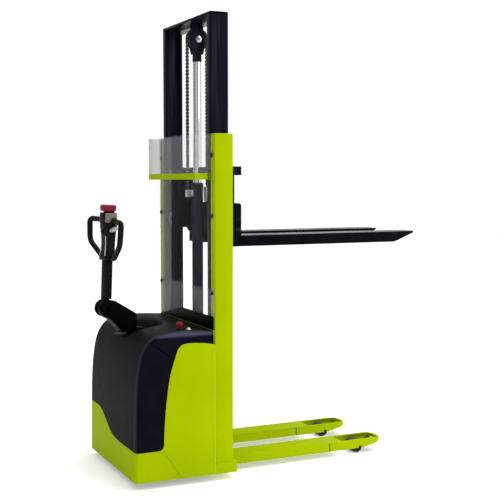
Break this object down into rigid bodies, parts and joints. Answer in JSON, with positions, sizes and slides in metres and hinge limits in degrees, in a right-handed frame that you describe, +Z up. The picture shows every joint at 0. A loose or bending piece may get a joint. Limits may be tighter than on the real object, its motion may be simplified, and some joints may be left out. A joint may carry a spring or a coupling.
{
  "type": "walkie stacker",
  "caption": "Pedestrian electric stacker: two-stage mast with clear screen, lift cylinder and chain, forks over base legs, rear hood with drive unit and steered tiller.",
  "frame": {"origin": "on the floor under the middle of the overall length and width, with the mast and forks as stored", "axes": "+Z up along the mast, +X forward to the fork tips, +Y to the operator's left across the truck"},
  "size_m": [1.8319, 0.804, 2.409],
  "materials": {
    "lime_paint": "glossy lime green powder coat",
    "black_paint": "glossy black paint",
    "black_plastic": "finely grained moulded plastic",
    "grey_plastic": "satin moulded plastic",
    "red_plastic": "semi gloss moulded plastic",
    "chrome": "hard chrome plate",
    "steel": "machined and lightly oiled",
    "clear_sheet": "clear polycarbonate sheet",
    "polyurethane": "dark cast polyurethane",
    "battery_case": "moulded case",
    "aluminium": "cast, as machined"
  },
  "bodies": {
    "chassis": {"base_beam": "lime_paint", "mast_foot_plate": "lime_paint", "leg_left": "lime_paint", "leg_right": "lime_paint", "load_roller_axle_left": "steel", "load_roller_axle_right": "steel", "side_panel_left": "lime_paint", "side_panel_right": "lime_paint", "top_cover": "black_plastic", "rear_cover": "black_plastic", "rear_skirt": "lime_paint", "chassis_deck": "lime_paint", "battery": "battery_case", "hydraulic_power_unit": "black_paint", "motor_controller": "aluminium", "steering_bearing": "steel", "outer_mast_left": "lime_paint", "outer_mast_right": "lime_paint", "mast_screen": "clear_sheet", "guard_bar": "lime_paint", "hand_guard": "clear_sheet", "cylinder_barrel": "black_paint", "cylinder_gland": "black_paint", "chain_anchor_mast": "steel", "chain_rear_run": "steel"},
    "load_roller_left": {"load_roller_left": "polyurethane"},
    "load_roller_right": {"load_roller_right": "polyurethane"},
    "emergency_stop": {"emergency_stop_button": "red_plastic"},
    "key_switch": {"key_switch": "steel"},
    "inner_mast": {"inner_mast": "black_paint", "cylinder_rod": "chrome", "pulley_block": "black_paint", "pulley_pin": "steel", "chain_front_run": "steel"},
    "chain_pulley": {"chain_pulley": "steel"},
    "mast_roller_left": {"mast_roller_left": "steel"},
    "mast_roller_right": {"mast_roller_right": "steel"},
    "carriage": {"carriage": "black_paint", "fork_left": "black_paint", "fork_right": "black_paint", "chain_anchor_carriage": "steel"},
    "carriage_roller_lower_left": {"carriage_roller_lower_left": "steel"},
    "carriage_roller_lower_right": {"carriage_roller_lower_right": "steel"},
    "carriage_roller_upper_left": {"carriage_roller_upper_left": "steel"},
    "carriage_roller_upper_right": {"carriage_roller_upper_right": "steel"},
    "castor": {"castor_fork": "black_paint"},
    "castor_wheel": {"castor_wheel": "polyurethane"},
    "steering": {"drive_unit": "black_paint", "tiller_arm": "black_paint", "tiller_hinge_pin": "steel"},
    "drive_wheel": {"drive_wheel": "polyurethane"},
    "tiller": {"tiller_drawbar": "black_paint", "tiller_head": "black_plastic", "grip_loop_left": "black_plastic", "grip_loop_right": "black_plastic", "head_cheek_left": "grey_plastic", "head_cheek_right": "grey_plastic"},
    "belly_button": {"belly_button": "red_plastic"},
    "throttle": {"throttle": "grey_plastic"},
    "lift_rocker": {"lift_rocker": "grey_plastic"}
  },
  "joints": [
    {"name": "mast_lift", "type": "slide", "parent": "chassis", "child": "inner_mast", "axis": [0, 0, 1], "range_m": [-0.585, 0.62], "deforming": ["chain_rear_run"]},
    {"name": "carriage_lift", "type": "slide", "parent": "inner_mast", "child": "carriage", "axis": [0, 0, 1], "range_m": [-0.585, 0.62], "deforming": ["chain_front_run"]},
    {"name": "chain_pulley_spin", "type": "hinge", "parent": "inner_mast", "child": "chain_pulley", "pos_m": [-0.326, 0, 2.31], "axis": [0, -1, 0], "continuous": true},
    {"name": "mast_roller_left_spin", "type": "hinge", "parent": "inner_mast", "child": "mast_roller_left", "pos_m": [-0.344, 0.367, 0.76], "axis": [0, -1, 0], "continuous": true},
    {"name": "mast_roller_right_spin", "type": "hinge", "parent": "inner_mast", "child": "mast_roller_right", "pos_m": [-0.344, -0.367, 0.76], "axis": [0, -1, 0], "continuous": true},
    {"name": "carriage_roller_lower_left_spin", "type": "hinge", "parent": "carriage", "child": "carriage_roller_lower_left", "pos_m": [-0.344, 0.312, 1.335], "axis": [0, -1, 0], "continuous": true},
    {"name": "carriage_roller_lower_right_spin", "type": "hinge", "parent": "carriage", "child": "carriage_roller_lower_right", "pos_m": [-0.344, -0.312, 1.335], "axis": [0, -1, 0], "continuous": true},
    {"name": "carriage_roller_upper_left_spin", "type": "hinge", "parent": "carriage", "child": "carriage_roller_upper_left", "pos_m": [-0.344, 0.312, 1.58], "axis": [0, -1, 0], "continuous": true},
    {"name": "carriage_roller_upper_right_spin", "type": "hinge", "parent": "carriage", "child": "carriage_roller_upper_right", "pos_m": [-0.344, -0.312, 1.58], "axis": [0, -1, 0], "continuous": true},
    {"name": "load_roller_left_spin", "type": "hinge", "parent": "chassis", "child": "load_roller_left", "pos_m": [0.556, 0.2, 0.038], "axis": [0, 1, 0], "continuous": true},
    {"name": "load_roller_right_spin", "type": "hinge", "parent": "chassis", "child": "load_roller_right", "pos_m": [0.556, -0.2, 0.038], "axis": [0, 1, 0], "continuous": true},
    {"name": "castor_swivel", "type": "hinge", "parent": "chassis", "child": "castor", "pos_m": [-0.674, -0.27, 0.25], "axis": [0, 0, 1], "continuous": true},
    {"name": "castor_wheel_spin", "type": "hinge", "parent": "castor", "child": "castor_wheel", "pos_m": [-0.709, -0.27, 0.07], "axis": [0, 1, 0], "continuous": true},
    {"name": "steering", "type": "hinge", "parent": "chassis", "child": "steering", "pos_m": [-0.684, 0, 0.25], "axis": [0, 0, 1], "range_deg": [-100, 80]},
    {"name": "drive_wheel_spin", "type": "hinge", "parent": "steering", "child": "drive_wheel", "pos_m": [-0.684, 0, 0.11], "axis": [-0.1736, 0.9848, 0], "continuous": true},
    {"name": "tiller_tilt", "type": "hinge", "parent": "steering", "child": "tiller", "pos_m": [-0.8657, -0.03204, 0.884], "axis": [0.1736, -0.9848, 0], "range_deg": [0, 80], "stiffness_Nm_per_rad": 12, "springref_deg": -34.38},
    {"name": "belly_button_press", "type": "slide", "parent": "tiller", "child": "belly_button", "axis": [-0.0412, -0.0073, -0.9991], "range_m": [0, 0.006], "stiffness_N_per_m": 900, "springref_m": -0.002},
    {"name": "throttle_turn", "type": "hinge", "parent": "tiller", "child": "throttle", "pos_m": [-0.83878, -0.02729, 1.29722], "axis": [-0.1736, 0.9848, 0], "range_deg": [-20, 20], "stiffness_Nm_per_rad": 0.6},
    {"name": "lift_rocker_tilt", "type": "hinge", "parent": "tiller", "child": "lift_rocker", "pos_m": [-0.8713, -0.03303, 1.28559], "axis": [-0.1736, 0.9848, 0], "range_deg": [-8, 8], "stiffness_Nm_per_rad": 0.4},
    {"name": "emergency_stop_press", "type": "slide", "parent": "chassis", "child": "emergency_stop", "axis": [0, 0, -1], "range_m": [0, 0.006], "stiffness_N_per_m": 1200, "springref_m": -0.003},
    {"name": "key_switch_turn", "type": "hinge", "parent": "chassis", "child": "key_switch", "pos_m": [-0.516, -0.336, 0.79], "axis": [0, 0, -1], "range_deg": [0, 90]}
  ],
  "couplings": [
    {"joint": "carriage_lift", "follows": "mast_lift", "ratio": 1},
    {"joint": "chain_pulley_spin", "follows": "mast_lift", "rad_per_m": 17.544},
    {"joint": "mast_roller_left_spin", "follows": "mast_lift", "rad_per_m": 25.641},
    {"joint": "mast_roller_right_spin", "follows": "mast_lift", "rad_per_m": 25.641},
    {"joint": "carriage_roller_lower_left_spin", "follows": "mast_lift", "rad_per_m": 27.778},
    {"joint": "carriage_roller_upper_left_spin", "follows": "mast_lift", "rad_per_m": -27.778},
    {"joint": "carriage_roller_lower_right_spin", "follows": "mast_lift", "rad_per_m": 27.778},
    {"joint": "carriage_roller_upper_right_spin", "follows": "mast_lift", "rad_per_m": -27.778}
  ]
}
